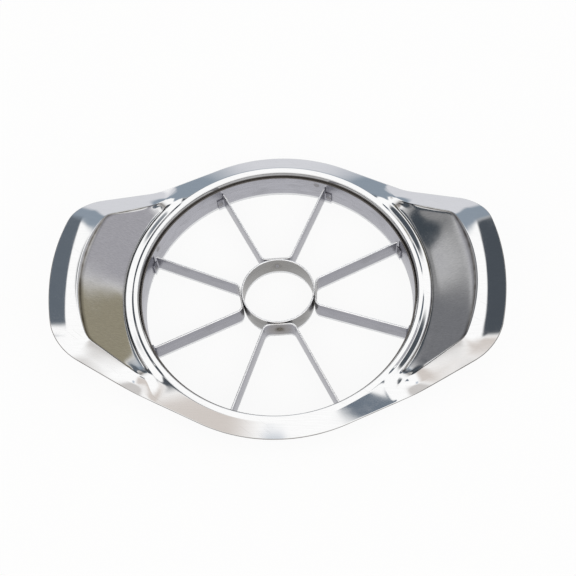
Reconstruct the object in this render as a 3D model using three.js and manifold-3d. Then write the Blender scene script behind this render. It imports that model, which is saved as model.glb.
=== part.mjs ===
// Stainless steel apple slicer and corer.
// One pressed frame with two upswept handles carries a round cutting band. Inside the band four bent
// strips make eight blades round a corer tube. Spot welds hold the strips, the tube, the band and the
// frame together. Millimetres, +Z up, +X along the handles, the origin on the axis of the opening at
// the level of the cutting edges.

import * as THREE from 'three';
import { mergeVertices } from 'three/addons/utils/BufferGeometryUtils.js';
import Module from 'manifold-3d';

const wasm = await Module();
wasm.setup();

// Fits
const FIT_GAP = 0.3;

// Cutting band
const OPENING_RADIUS = 50.1;
const BAND_THICKNESS = 0.7;
const BAND_HEIGHT = 11.2;

// Ground lower edge of every strip
const GRIND_HEIGHT = 1.5;
const CUTTING_EDGE_WIDTH = 0.3;

// Corer tube
const CORER_BORE_RADIUS = 13;
const CORER_THICKNESS = 0.6;
const CORER_HEIGHT = 9.4;
const CORER_SEAM_WIDTH = 0.4;
const CORER_SEAM_ANGLE = THREE.MathUtils.degToRad(-12);

// Blade strips
const BLADE_THICKNESS = 0.6;
const BLADE_HEIGHT = 9;
const FLAT_WIDTH = 10.6;
const FLAT_BEND_RADIUS = 2.6;
const TAB_HEIGHT = 6;
const TAB_LENGTH = 4.2;
const TAB_BEND_RADIUS = 0.8;

// Spot welds
const WELD_RADIUS = 1.1;
const WELD_DIMPLE = 0.08;
const BAND_WELD_SPACING = 3.4;

// Frame sheet, collar and bead
const SHEET_THICKNESS = 0.6;
const COLLAR_DEPTH = 4.4;
const BEAD_WIDTH = 2;
const BEAD_RISE = 2.5;
const GROOVE_DEPTH = 0.2;
const GROOVE_START_ANGLE = THREE.MathUtils.degToRad(30);
const GROOVE_WIDTH = 0.8;

// Frame rim and the outline of the handles
const RIM_WIDTH = 6;
const RIM_RISE = 1.3;
const HANDLE_LENGTH = 20.8;
const HANDLE_END_RADIUS = 100;
const HANDLE_CORNER_RADIUS = 18;
const FLANK_ANGLE = THREE.MathUtils.degToRad(25.1);

// Upsweep of the handles
const UPSWEEP_ANGLE = THREE.MathUtils.degToRad(21.3);
const UPSWEEP_INSET = 7.1;
const UPSWEEP_BEND_LENGTH = 5;
const END_FLARE = 2;
const CREST_END_RISE = 3.4;
const CREST_TIP_RISE = 2.3;
const CREST_WIDTH = 1.1;

// Turned-up lip at the end of a handle, with a level land inside it
const LIP_WIDTH = 5.4;
const LAND_SAG = 0.7;
const LIP_END_ANGLE = THREE.MathUtils.degToRad(17);
const LIP_FADE_ANGLE = THREE.MathUtils.degToRad(8);

// Ridge between the bead and the pads
const RIDGE_OFFSET = 2;
const RIDGE_RISE = 2.9;
const RIDGE_WIDTH = 0.5;
const RIDGE_WALL_WIDTH = 0.9;

// Sunken pads
const PAD_LENGTH = 17.2;
const PAD_END_RADIUS = 62;
const PAD_CORNER_RADIUS = 4;
const PAD_FLANK_STANDOFF = 2;
const PAD_FLANK_ANGLE = THREE.MathUtils.degToRad(30.4);
const PAD_WALL_WIDTH = 0.9;
const PAD_INNER_DEPTH = 0.9;
const PAD_OUTER_DEPTH = 2.4;
const PAD_TIP_DEPTH = 0.8;
const PAD_LEAST_WIDTH = 0.8;
const PAD_TIP_ANGLE = THREE.MathUtils.degToRad(39.5);
const PAD_TIP_FADE_ANGLE = THREE.MathUtils.degToRad(3.5);
const HANDLE_FADE_ANGLE = THREE.MathUtils.degToRad(13);

// Inner side of the bead, as shares of its width and of its rise
const BEAD_SHARES = [
  [0, 0],
  [0.01, 0.55],
  [0.05, 0.8],
  [0.18, 0.95],
  [0.65, 1],
];
const PAD_SHARES = [1 / 3, 2 / 3];
const LAND_LEAST_SHARE = 0.35;

// Facets
const FRAME_STEPS = [
  { from: 0, to: 15, count: 4 },
  { from: 15, to: 54, count: 18 },
  { from: 54, to: 90, count: 6 },
];
const BAND_STEPS = 96;
const CORER_STEPS = 44;
const FLAT_BEND_STEPS = 4;
const TAB_BEND_STEPS = 4;
const TAB_BEND_TALL_STEPS = 2;
const TAB_STEPS = 2;
const WELD_SIDES = 12;

// Where each strip's flat faces and where its two blades meet the band, in degrees from +X. The cutter
// sits a few degrees round from the handles. tabTurn is 1 where the tabs turn away from each other.
const STRIPS = [
  { name: 'back', flat: 94, ends: [70, 117.5], tabTurn: 1 },
  { name: 'right', flat: -1, ends: [-18.5, 25.4], tabTurn: -1 },
  { name: 'front', flat: -86.5, ends: [-107.4, -63.3], tabTurn: 1 },
  { name: 'left', flat: 191, ends: [162.2, 208.2], tabTurn: -1 },
];

// Sizes that follow from the ones above
const bandCentreRadius = OPENING_RADIUS + BAND_THICKNESS / 2;
const bandOuterRadius = OPENING_RADIUS + BAND_THICKNESS;
const collarRadius = bandOuterRadius + FIT_GAP;
const grooveRadius = collarRadius + BEAD_WIDTH;
const rimRadius = grooveRadius + RIM_WIDTH;
const rimHeight = BAND_HEIGHT + RIM_RISE;
const corerOuterRadius = CORER_BORE_RADIUS + CORER_THICKNESS;
const flatDistance = corerOuterRadius + FIT_GAP + BLADE_THICKNESS / 2;
const tabRadius = OPENING_RADIUS - FIT_GAP - BLADE_THICKNESS / 2;
const tabWeldHeight = (GRIND_HEIGHT + TAB_HEIGHT) / 2;
const flatWeldHeight = (GRIND_HEIGHT + BLADE_HEIGHT) / 2;
const bandWeldHeight = BAND_HEIGHT - COLLAR_DEPTH / 2;

const steel = (colour, roughness) =>
  new THREE.MeshStandardMaterial({ color: colour, roughness, metalness: 1 });
const frameSteel = steel('#c8cacd', 0.16);
const bandSteel = steel('#b9bac2', 0.3);
const bladeSteel = steel('#b4b5bd', 0.32);
const weldSteel = steel('#6f6455', 0.5);

// Outline of the frame and of the pads

function polar(radius, angle) {
  return new THREE.Vector2(Math.cos(angle), Math.sin(angle)).multiplyScalar(radius);
}

// Distance from the origin to a circle that surrounds it, along a ray at this angle.
function rayToCircle(angle, centre, radius) {
  const along = centre.dot(polar(1, angle));
  return along + Math.sqrt(radius ** 2 - centre.lengthSq() + along ** 2);
}

// One quarter of a handle's outline seen from the origin: an end arc about a centre on the X axis, a
// fillet, and a straight flank whose normal lies at flankNormal. Returns the radius at an angle.
function handleOutline({ reach, endRadius, flankOffset, flankNormal, cornerRadius }) {
  const endCentre = new THREE.Vector2(reach - endRadius, 0);
  const normal = polar(1, flankNormal);
  const along = polar(1, flankNormal - Math.PI / 2);
  const foot = normal.clone().multiplyScalar(flankOffset - cornerRadius);
  const fromEnd = foot.clone().sub(endCentre);
  const projection = fromEnd.dot(along);
  const slack = (endRadius - cornerRadius) ** 2 - fromEnd.lengthSq() + projection ** 2;
  const corner = foot.clone().addScaledVector(along, Math.sqrt(slack) - projection);
  const onEnd = corner.clone().sub(endCentre).setLength(endRadius).add(endCentre);
  const onFlank = corner.clone().addScaledVector(normal, cornerRadius);
  return (angle) => {
    if (angle <= onEnd.angle()) {
      return rayToCircle(angle, endCentre, endRadius);
    }
    if (angle <= onFlank.angle()) {
      return rayToFillet(angle, corner, cornerRadius);
    }
    return flankOffset / Math.cos(angle - flankNormal);
  };
}

// Distance from the origin to the far side of a circle that doesn't surround it.
function rayToFillet(angle, centre, radius) {
  const along = centre.dot(polar(1, angle));
  const across = centre.lengthSq() - along ** 2;
  return along + Math.sqrt(Math.max(0, radius ** 2 - across));
}

const flankNormal = Math.PI / 2 - FLANK_ANGLE;
const flankOutline = handleOutline({
  reach: rimRadius + HANDLE_LENGTH,
  endRadius: HANDLE_END_RADIUS,
  flankOffset: rimRadius,
  flankNormal,
  cornerRadius: HANDLE_CORNER_RADIUS,
});
const padOutline = handleOutline({
  reach: grooveRadius + PAD_LENGTH,
  endRadius: PAD_END_RADIUS,
  flankOffset: grooveRadius + PAD_FLANK_STANDOFF,
  flankNormal: Math.PI / 2 - PAD_FLANK_ANGLE,
  cornerRadius: PAD_CORNER_RADIUS,
});

function edgeRadius(angle) {
  return angle < flankNormal ? flankOutline(angle) : rimRadius;
}

// Height of the trimmed edge at a distance along X: level beside the ring, bent up along the handle,
// and flared past the pad.
function edgeHeight(x) {
  const past = x - (grooveRadius - UPSWEEP_INSET);
  const bent = THREE.MathUtils.clamp(past, 0, UPSWEEP_BEND_LENGTH) ** 2 / (2 * UPSWEEP_BEND_LENGTH);
  const straight = Math.max(0, past - UPSWEEP_BEND_LENGTH);
  const flareStart = grooveRadius + PAD_LENGTH;
  const flareLength = rimRadius + HANDLE_LENGTH - flareStart;
  const flare = END_FLARE * (Math.max(0, x - flareStart) / flareLength) ** 2;
  return rimHeight + Math.tan(UPSWEEP_ANGLE) * (bent + straight) + flare;
}

// Share of the way from a pad's tips to its end wall, at a distance along X.
function alongPad(x) {
  const along = (x - (grooveRadius - UPSWEEP_INSET)) / (PAD_LENGTH + UPSWEEP_INSET);
  return THREE.MathUtils.clamp(along, 0, 1);
}

// The frame's upper face at one angle from the X axis, from the collar's lower edge to the trimmed
// edge, as [radius, height] points.
function frameSection(angle) {
  const { lerp, smoothstep } = THREE.MathUtils;
  const collar = [collarRadius, BAND_HEIGHT - COLLAR_DEPTH];
  const bead = BEAD_SHARES.map(([across, up]) => [
    collarRadius + across * BEAD_WIDTH,
    BAND_HEIGHT + up * BEAD_RISE,
  ]);
  const grooveDepth = GROOVE_DEPTH * smoothstep(angle, 0, GROOVE_START_ANGLE);
  const groove = [grooveRadius, BAND_HEIGHT + BEAD_RISE - grooveDepth];
  const outer = edgeRadius(angle);
  const edge = [outer, edgeHeight(outer * Math.cos(angle))];

  const ridgeRadius = grooveRadius + RIDGE_OFFSET;
  const ridgeHeight = BAND_HEIGHT + RIDGE_RISE;
  const padInner = ridgeRadius + RIDGE_WIDTH + RIDGE_WALL_WIDTH;
  const leastOuter = padInner + PAD_LEAST_WIDTH + PAD_WALL_WIDTH;
  const wallTop = Math.max(padOutline(angle), leastOuter);
  const x = wallTop * Math.cos(angle);
  const crestHeight = edgeHeight(x) + lerp(CREST_TIP_RISE, CREST_END_RISE, alongPad(x));
  const depth = 1 - smoothstep(angle, PAD_TIP_ANGLE - PAD_TIP_FADE_ANGLE, PAD_TIP_ANGLE);
  const outerDepth = lerp(PAD_TIP_DEPTH, PAD_OUTER_DEPTH, alongPad(x));
  const padOuter = wallTop - PAD_WALL_WIDTH;
  const padFloor = (share) => [
    lerp(padInner, padOuter, share),
    lerp(ridgeHeight - depth * PAD_INNER_DEPTH, crestHeight - depth * outerDepth, share),
  ];
  const crest = [wallTop + CREST_WIDTH, crestHeight];
  const landShare = Math.max(LAND_LEAST_SHARE, 1 - LIP_WIDTH / (edge[0] - crest[0]));
  const sag = LAND_SAG * (1 - smoothstep(angle, LIP_END_ANGLE, LIP_END_ANGLE + LIP_FADE_ANGLE));
  const land = [lerp(crest[0], edge[0], landShare), lerp(crest[1], edge[1], landShare) - sag];
  const rise = lerp(groove[1], ridgeHeight, GROOVE_WIDTH / RIDGE_OFFSET);
  const handle = [
    [grooveRadius + GROOVE_WIDTH, rise],
    [ridgeRadius, ridgeHeight],
    [ridgeRadius + RIDGE_WIDTH, ridgeHeight],
    padFloor(0),
    ...PAD_SHARES.map(padFloor),
    padFloor(1),
    [wallTop, crestHeight],
    crest,
    land,
  ];

  const weight = 1 - smoothstep(angle, PAD_TIP_ANGLE, PAD_TIP_ANGLE + HANDLE_FADE_ANGLE);
  const rim = [grooveRadius + GROOVE_WIDTH, BAND_HEIGHT + BEAD_RISE - GROOVE_DEPTH];
  const middle = handle.map(([radius, height], index) => {
    const share = index / handle.length;
    return [
      lerp(lerp(rim[0], edge[0], share), radius, weight),
      lerp(lerp(rim[1], edge[1], share), height, weight),
    ];
  });
  return [collar, ...bead, groove, ...middle, edge];
}

// The other face of the sheet: each point moved square to the section by the thickness.
function otherFace(section) {
  return section.map(([radius, height], index) => {
    const before = section[Math.max(0, index - 1)];
    const after = section[Math.min(section.length - 1, index + 1)];
    const into = new THREE.Vector2(radius - before[0], height - before[1]).normalize();
    const out = new THREE.Vector2(after[0] - radius, after[1] - height).normalize();
    const along = into.add(out).normalize();
    return [radius + along.y * SHEET_THICKNESS, height - along.x * SHEET_THICKNESS];
  });
}

// Joins rings of points, each ring a closed section, into one closed surface. The last ring meets the
// first when the sweep is closed, otherwise both ends are capped with fans.
function loft(rings, closed) {
  const size = rings[0].length;
  const positions = rings.flat().flatMap((point) => [point.x, point.y, point.z]);
  const indices = [];
  const spans = closed ? rings.length : rings.length - 1;
  for (let ring = 0; ring < spans; ring += 1) {
    const next = (ring + 1) % rings.length;
    for (let point = 0; point < size; point += 1) {
      const side = (point + 1) % size;
      const a = ring * size + point;
      const b = ring * size + side;
      const c = next * size + side;
      const d = next * size + point;
      indices.push(a, b, c, a, c, d);
    }
  }
  if (!closed) {
    const last = (rings.length - 1) * size;
    for (let point = 1; point < size - 1; point += 1) {
      indices.push(0, point + 1, point);
      indices.push(last, last + point, last + point + 1);
    }
  }
  const geometry = new THREE.BufferGeometry();
  geometry.setAttribute('position', new THREE.Float32BufferAttribute(positions, 3));
  geometry.setIndex(indices);
  return geometry;
}

function frameAngles() {
  const quarter = FRAME_STEPS.flatMap(({ from, to, count }) =>
    Array.from({ length: count }, (_, index) => from + ((to - from) * index) / count),
  );
  const half = [...quarter, 90, ...quarter.slice(1).reverse().map((angle) => 180 - angle)];
  return [...half, ...half.map((angle) => angle + 180)].map(THREE.MathUtils.degToRad);
}

// Angle from the nearer end of the X axis, so that one quarter of the outline serves all four.
function foldedAngle(angle) {
  return Math.atan2(Math.abs(Math.sin(angle)), Math.abs(Math.cos(angle)));
}

function makeFrame() {
  const rings = frameAngles().map((angle) => {
    const upper = frameSection(foldedAngle(angle));
    const ring = [...upper, ...otherFace(upper).reverse()];
    return ring.map(([radius, height]) => {
      const { x, y } = polar(radius, angle);
      return new THREE.Vector3(x, y, height);
    });
  });
  return loft(rings, true);
}

// Rolled and bent strip

// A strip that stands on its ground edge and follows a path of { point, top } stations.
function sweepStrip(stations, thickness, closed) {
  const count = stations.length;
  const rings = stations.map(({ point, top }, index) => {
    const before = stations[closed ? (index + count - 1) % count : Math.max(0, index - 1)].point;
    const after = stations[closed ? (index + 1) % count : Math.min(count - 1, index + 1)].point;
    const into = point.clone().sub(before).normalize();
    const out = after.clone().sub(point).normalize();
    const along = into.clone().add(out).normalize();
    const miter = 1 / Math.max(into.dot(along), out.dot(along));
    const left = new THREE.Vector2(-along.y, along.x).multiplyScalar(miter);
    const wide = thickness / 2;
    const narrow = CUTTING_EDGE_WIDTH / 2;
    return [
      [wide, top],
      [-wide, top],
      [-wide, GRIND_HEIGHT],
      [-narrow, 0],
      [narrow, 0],
      [wide, GRIND_HEIGHT],
    ].map(([across, height]) => {
      const { x, y } = point.clone().addScaledVector(left, across);
      return new THREE.Vector3(x, y, height);
    });
  });
  return loft(rings, closed);
}

function arcStations(radius, from, to, steps, top) {
  return Array.from({ length: steps + 1 }, (_, index) => ({
    point: polar(radius, THREE.MathUtils.lerp(from, to, index / steps)),
    top,
  }));
}

function makeBand() {
  const turn = arcStations(bandCentreRadius, 0, 2 * Math.PI, BAND_STEPS, BAND_HEIGHT).slice(0, -1);
  return sweepStrip(turn, BAND_THICKNESS, true);
}

function makeCorer() {
  const radius = CORER_BORE_RADIUS + CORER_THICKNESS / 2;
  const halfSeam = CORER_SEAM_WIDTH / 2 / radius;
  const from = CORER_SEAM_ANGLE + halfSeam;
  const to = CORER_SEAM_ANGLE + 2 * Math.PI - halfSeam;
  return sweepStrip(arcStations(radius, from, to, CORER_STEPS, CORER_HEIGHT), CORER_THICKNESS, false);
}

// Points of a round bend that replaces the corner between two straight runs.
function bend(before, corner, after, radius, steps) {
  const back = before.clone().sub(corner).normalize();
  const ahead = after.clone().sub(corner).normalize();
  const half = Math.acos(THREE.MathUtils.clamp(back.dot(ahead), -1, 1)) / 2;
  const reach = radius / Math.tan(half);
  const middle = back.clone().add(ahead).setLength(radius / Math.sin(half)).add(corner);
  const start = corner.clone().addScaledVector(back, reach).sub(middle);
  const turn = (Math.PI - 2 * half) * Math.sign(ahead.cross(back));
  return Array.from({ length: steps + 1 }, (_, index) =>
    start.clone().rotateAround(new THREE.Vector2(), (turn * index) / steps).add(middle),
  );
}

function tabAngles({ ends, tabTurn }, side) {
  const end = THREE.MathUtils.degToRad(ends[side]);
  const away = (side === 0 ? -1 : 1) * tabTurn;
  return { end, tip: end + (away * TAB_LENGTH) / tabRadius, away };
}

// Half of a strip, from the middle of its flat out along one blade to the tip of its tab.
function halfStrip(strip, side) {
  const facing = THREE.MathUtils.degToRad(strip.flat);
  const middle = polar(flatDistance, facing);
  const sideways = polar(FLAT_WIDTH / 2, facing + (side === 0 ? -Math.PI / 2 : Math.PI / 2));
  const shoulder = middle.clone().add(sideways);
  const { end, tip, away } = tabAngles(strip, side);
  const heel = polar(tabRadius, end);
  const tabLine = polar(TAB_LENGTH, end + (away * Math.PI) / 2).add(heel);
  const flatBend = bend(middle, shoulder, heel, FLAT_BEND_RADIUS, FLAT_BEND_STEPS);
  const tabBend = bend(shoulder, heel, tabLine, TAB_BEND_RADIUS, TAB_BEND_STEPS);
  const tall = [...flatBend, ...tabBend.slice(0, TAB_BEND_TALL_STEPS)];
  const low = tabBend.slice(TAB_BEND_TALL_STEPS);
  const tabStart = end + (away * TAB_BEND_RADIUS) / tabRadius;
  const tab = arcStations(tabRadius, tabStart, tip, TAB_STEPS, TAB_HEIGHT).slice(1);
  return [
    ...tall.map((point) => ({ point, top: BLADE_HEIGHT })),
    ...low.map((point) => ({ point, top: TAB_HEIGHT })),
    ...tab,
  ];
}

function makeStrip(strip) {
  return sweepStrip([...halfStrip(strip, 0).reverse(), ...halfStrip(strip, 1)], BLADE_THICKNESS, false);
}

// Spot welds

// A straight run through the welded sheets at one place, between two distances from the axis.
function weldAt(angle, height, from, to) {
  return { angle, height, from, to };
}

function placeAlong(geometry, { angle, height, from, to }) {
  const { x, y } = polar((from + to) / 2, angle);
  return geometry.rotateZ(-Math.PI / 2).rotateZ(angle).translate(x, y, height);
}

function makeWeld(weld) {
  const half = (weld.to - weld.from) / 2;
  const profile = [
    new THREE.Vector2(0, WELD_DIMPLE - half),
    new THREE.Vector2(WELD_RADIUS, -half),
    new THREE.Vector2(WELD_RADIUS, half),
    new THREE.Vector2(0, half - WELD_DIMPLE),
  ];
  return placeAlong(new THREE.LatheGeometry(profile, WELD_SIDES), weld);
}

function makeHole(weld) {
  const radius = WELD_RADIUS + FIT_GAP;
  const length = weld.to - weld.from + 2 * FIT_GAP;
  return placeAlong(new THREE.CylinderGeometry(radius, radius, length, WELD_SIDES), weld);
}

function toSolid(geometry) {
  const bare = new THREE.BufferGeometry();
  bare.setAttribute('position', geometry.getAttribute('position'));
  bare.setIndex(geometry.index);
  const merged = mergeVertices(bare);
  return new wasm.Manifold(
    new wasm.Mesh({
      numProp: 3,
      vertProperties: new Float32Array(merged.getAttribute('position').array),
      triVerts: new Uint32Array(merged.index.array),
    }),
  );
}

function withHoles(geometry, welds) {
  const solid = welds.reduce((left, weld) => left.subtract(toSolid(makeHole(weld))), toSolid(geometry));
  const { vertProperties, triVerts } = solid.getMesh();
  const cut = new THREE.BufferGeometry();
  cut.setAttribute('position', new THREE.BufferAttribute(vertProperties, 3));
  cut.setIndex(new THREE.BufferAttribute(triVerts, 1));
  return cut;
}

// Every weld of a strip: through its flat into the corer, through each tab into the band, and beside
// its first blade through the band into the frame's collar.
function stripWelds(strip) {
  const { degToRad } = THREE.MathUtils;
  const bladeHalf = BLADE_THICKNESS / 2;
  const flat = weldAt(degToRad(strip.flat), flatWeldHeight, CORER_BORE_RADIUS, flatDistance + bladeHalf);
  const tabs = [0, 1].map((side) => {
    const { end, tip } = tabAngles(strip, side);
    const bendShare = TAB_BEND_RADIUS / TAB_LENGTH;
    const angle = THREE.MathUtils.lerp(end, tip, (1 + bendShare) / 2);
    return weldAt(angle, tabWeldHeight, tabRadius - bladeHalf, bandOuterRadius);
  });
  const { end, away } = tabAngles(strip, 0);
  const beside = end - (away * BAND_WELD_SPACING) / bandCentreRadius;
  const band = weldAt(beside, bandWeldHeight, OPENING_RADIUS, collarRadius + SHEET_THICKNESS);
  return { flat, tabs, band };
}

const slicer = new THREE.Group();

function addPiece(name, geometry, material) {
  const piece = new THREE.Mesh(geometry, material);
  piece.name = name;
  slicer.add(piece);
}

const welds = STRIPS.map(stripWelds);
const bandWelds = welds.map(({ band }) => band);
const tabWelds = welds.flatMap(({ tabs }) => tabs);

addPiece('frame', withHoles(makeFrame(), bandWelds), frameSteel);
addPiece('cutting_band', withHoles(makeBand(), [...tabWelds, ...bandWelds]), bandSteel);
addPiece('corer_tube', withHoles(makeCorer(), welds.map(({ flat }) => flat)), bladeSteel);
STRIPS.forEach((strip, index) => {
  const { flat, tabs, band } = welds[index];
  addPiece(`blade_strip_${strip.name}`, withHoles(makeStrip(strip), [flat, ...tabs]), bladeSteel);
  addPiece(`weld_corer_${strip.name}`, makeWeld(flat), weldSteel);
  addPiece(`weld_tab_${strip.name}_1`, makeWeld(tabs[0]), weldSteel);
  addPiece(`weld_tab_${strip.name}_2`, makeWeld(tabs[1]), weldSteel);
  addPiece(`weld_band_${strip.name}`, makeWeld(band), weldSteel);
});

export default slicer;
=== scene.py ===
"""Stainless steel apple slicer and corer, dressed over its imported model.

One polished frame pressed from sheet, a rolled cutting band, a rolled corer tube, four bent blade
strips and the marks of the spot welds that hold them together, on a pale floor under soft light.
"""

import math

import bmesh
import bpy
from mathutils import Matrix, Vector


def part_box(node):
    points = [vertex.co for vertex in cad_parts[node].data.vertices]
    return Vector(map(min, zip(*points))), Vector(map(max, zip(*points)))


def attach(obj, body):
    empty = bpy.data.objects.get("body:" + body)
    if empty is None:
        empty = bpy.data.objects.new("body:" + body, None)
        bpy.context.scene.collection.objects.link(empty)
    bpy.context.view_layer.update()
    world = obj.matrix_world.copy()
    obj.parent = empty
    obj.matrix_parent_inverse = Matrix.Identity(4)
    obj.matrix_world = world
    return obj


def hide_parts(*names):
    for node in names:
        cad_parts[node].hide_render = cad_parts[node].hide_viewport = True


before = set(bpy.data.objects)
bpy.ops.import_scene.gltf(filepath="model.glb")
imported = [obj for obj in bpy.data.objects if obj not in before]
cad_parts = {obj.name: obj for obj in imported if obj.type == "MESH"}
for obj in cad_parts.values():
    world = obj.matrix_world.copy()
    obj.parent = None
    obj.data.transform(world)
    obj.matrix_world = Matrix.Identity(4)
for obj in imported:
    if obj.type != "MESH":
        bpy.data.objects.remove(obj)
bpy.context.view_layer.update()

bl_info = {
    "name": "Apple slicer and corer",
    "version": (1, 0, 0),
    "blender": (4, 5, 0),
    "location": "View3D > Sidebar > Slicer",
    "description": "Presses, rolls and bends the pieces of a stainless steel apple slicer",
    "category": "Add Mesh",
}

MM = 0.001
BAND_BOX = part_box("cutting_band")
CORER_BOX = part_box("corer_tube")
STRIP_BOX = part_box("blade_strip_front")

# Where each strip's flat faces and where its two blades meet the band, in degrees from +X. A turn
# of 1 bends the tabs away from each other, and -1 towards each other.
STRIPS = {
    "back": {"flat": 94.0, "ends": (70.0, 117.5), "turn": 1},
    "right": {"flat": -1.0, "ends": (-18.5, 25.4), "turn": -1},
    "front": {"flat": -86.5, "ends": (-107.4, -63.3), "turn": 1},
    "left": {"flat": 191.0, "ends": (162.2, 208.2), "turn": -1},
}

# Faces in the bends of a strip, and the runs in which a blade is drawn out
FLAT_BEND_STEPS = 8
TAB_BEND_STEPS = 8
TAB_STEPS = 4
BLADE_SHARES = (0.02, 0.96, 0.02)

# How a sheared edge is broken: corners sharper than this angle are rounded
BROKEN_EDGE = {"segments": 2, "limit_method": "ANGLE", "angle_limit": math.radians(50)}

# Faces round a weld's mark, and steps down into its dimple
WELD_FACETS = 48
WELD_DIMPLE_STEPS = 2

# A face looks along a direction if its normal has at least this share of it
FACING = 0.9

# Inner side of the bead, as shares of its width and of its rise
BEAD_SHARES = ((0, 0), (0.01, 0.55), (0.03, 0.8), (0.1, 0.95), (0.3, 0.97), (0.75, 1))

# Corners of a pad's floor between its inner and its outer side, as shares of its width
PAD_SHARES = (1 / 3, 2 / 3)

# Where along a pad its end wall starts to show, the steepest slope of its floor, and the places on
# either side over which that slope is evened out
PAD_END_SHARE = 0.7
PAD_STEEPEST = 0.8
EVENING_STEPS = 6

# The land keeps at least this share of the way from the crest to the trimmed edge
LAND_LEAST_SHARE = 0.35

# Places in the section, counted in corners from the collar's lower edge
BEAD_TOP = 5
PAD_WALLS = (11, 15)
TRIMMED_EDGE = 19

# What the frame's points store for its finish. Residue and painted shade lie beside a pad's walls,
# on the trimmed edge and on the collar under the bead. Beside the walls and the edge they have a
# reach, in corners, and a steepness. On the collar they have a limit and a steepness.
FINISH_MARKS = ("pad", "residue_and_painted_shade")
WALL_RESIDUE_AND_SHADE = (0.6, 2.1)
EDGE_RESIDUE_AND_SHADE = (0.875, 4)
COLLAR_RESIDUE_AND_SHADE = (0.6, 1.8)

# A full turn less a rounding error, so that a point on +X counts as the first
FULL_TURN = 2 * math.pi - 1e-6


def length(name, description, millimetres):
    """A size that a user may change, given in millimetres."""
    return bpy.props.FloatProperty(
        name=name, description=description, default=millimetres * MM, unit="LENGTH", precision=5
    )


def angle(name, description, degrees):
    return bpy.props.FloatProperty(
        name=name, description=description, default=math.radians(degrees), unit="ROTATION"
    )


def steps(name, description, count):
    return bpy.props.IntProperty(name=name, description=description, default=count, min=1)


def portion(name, description, value):
    return bpy.props.FloatProperty(
        name=name, description=description, default=value, min=0, max=1, subtype="FACTOR"
    )


def linear(hex_colour):
    """An sRGB hex colour as linear red, green and blue."""
    values = [int(hex_colour[i:i + 2], 16) / 255 for i in (1, 3, 5)]
    return [v / 12.92 if v <= 0.04045 else ((v + 0.055) / 1.055) ** 2.4 for v in values]


def colour(name, description, hex_colour):
    return bpy.props.FloatVectorProperty(
        name=name, description=description, default=linear(hex_colour), subtype="COLOR", size=3
    )


class FrameSizes(bpy.types.PropertyGroup):
    """Sizes of the pressed frame."""

    collar_radius: length(
        "Collar radius", "Inside of the collar, 0.1 mm off the band", BAND_BOX[1].x / MM + 0.1
    )
    band_height: length("Band height", "Top of the band, under the bead", BAND_BOX[1].z / MM)
    sheet: length("Sheet", "Thickness of the sheet", 0.6)
    collar_depth: length("Collar depth", "How far the collar reaches down the band", 4.4)
    bead_width: length("Bead width", "From the collar to the groove", 2.4)
    bead_rise: length("Bead rise", "Height of the bead over the band", 2.5)
    bead_bend: length("Bead bends", "Reach of the roundings on the bead's inner side", 0.15)
    groove_depth: length("Groove depth", "Depth of the groove under the bead", 0.2)
    groove_lift: length("Groove lift", "Rise to the bead's outer side where no groove is", 0.015)
    groove_start: angle("Groove start", "Where the groove is deepest, off the handle's middle", 30)
    groove_width: length("Groove width", "From the groove to the rim", 0.8)
    rim_width: length("Rim width", "From the groove to the trimmed edge", 5.8)
    rim_rise: length("Rim rise", "Height of the trimmed edge over the band", 1.3)
    handle_length: length("Handle length", "Reach of a handle past the rim", 20.8)
    end_radius: length("End radius", "Radius of the handle's end in plan", 100)
    corner_radius: length("Corner radius", "Radius of the handle's corners in plan", 18)
    flank_angle: angle("Flank angle", "Taper of the handle's flanks", 25.1)
    upsweep: angle("Upsweep", "Slope of the handles", 21.3)
    upsweep_inset: length("Upsweep inset", "Where the rise starts, inside the groove", 7.3)
    upsweep_bend: length("Upsweep bend", "Length of the bend that starts the rise", 5)
    end_flare: length("End flare", "Extra rise at the end of a handle", 2.0)
    lip_width: length("Lip width", "Width of the turned-up lip at the end of a handle", 5.4)
    land_sag: length("Land sag", "Depth of the land inside the lip", 0.5)
    lip_end: angle("Lip end", "Where the lip starts to run out, from the handle's middle", 17)
    lip_fade: angle("Lip fade", "Turn over which the lip runs out", 8)
    crest_end_rise: length("Crest rise at the end", "Crest over the edge at the end wall", 3.4)
    crest_tip_rise: length("Crest rise at the tips", "Crest over the edge at a pad's tips", 1.7)
    crest_width: length("Crest width", "Width of the crest round a pad", 1.1)
    ridge_offset: length("Ridge offset", "From the groove to the ridge", 2)
    ridge_rise: length("Ridge rise", "Height of the ridge over the band", 2.75)
    ridge_width: length("Ridge width", "Width of the ridge's top", 0.3)
    ridge_wall: length("Ridge wall", "Width of the wall from the ridge to the pad", 0.6)
    pad_length: length("Pad length", "From the groove to the top of the end wall", 17)
    pad_end_radius: length("Pad end radius", "Radius of the end wall in plan", 62)
    pad_corner_radius: length("Pad corner radius", "Radius of the pad's corners in plan", 7)
    pad_standoff: length("Pad flank standoff", "From the groove circle to the pad's flank", 1.8)
    pad_flank_angle: angle("Pad flank angle", "Taper of the pad's flanks", 30.4)
    pad_wall: length("Pad wall", "Width of the wall from the pad to the crest", 0.8)
    flank_wall: length("Pad wall at the flanks", "Width of the wall and of the crest there", 0.35)
    pad_inner_depth: length("Pad depth inside", "Depth of the pad under the ridge", 0.7)
    pad_outer_depth: length("Pad depth at the end", "Depth of the pad under the crest", 1.3)
    pad_flank_depth: length("Pad depth at the flanks", "Depth under the crest there", 0.4)
    pad_least_width: length("Least pad width", "Width of the pad at its tips", 0.8)
    pad_evening: angle("Pad evening", "Angle over which the pad's floor is evened out", 9)
    pad_tip: angle("Pad tip", "Where the pad's tips lie, from the handle's middle", 39.5)
    pad_tip_fade: angle("Pad tip fade", "Turn over which the pad runs out", 3.5)
    handle_fade: angle("Handle fade", "Turn over which the handle becomes the rim", 9)
    ring_steps: steps("Steps round", "Faces round the frame", 360)
    corner_steps: steps("Steps at a bend", "Faces in each bend of the section", 4)


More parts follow.
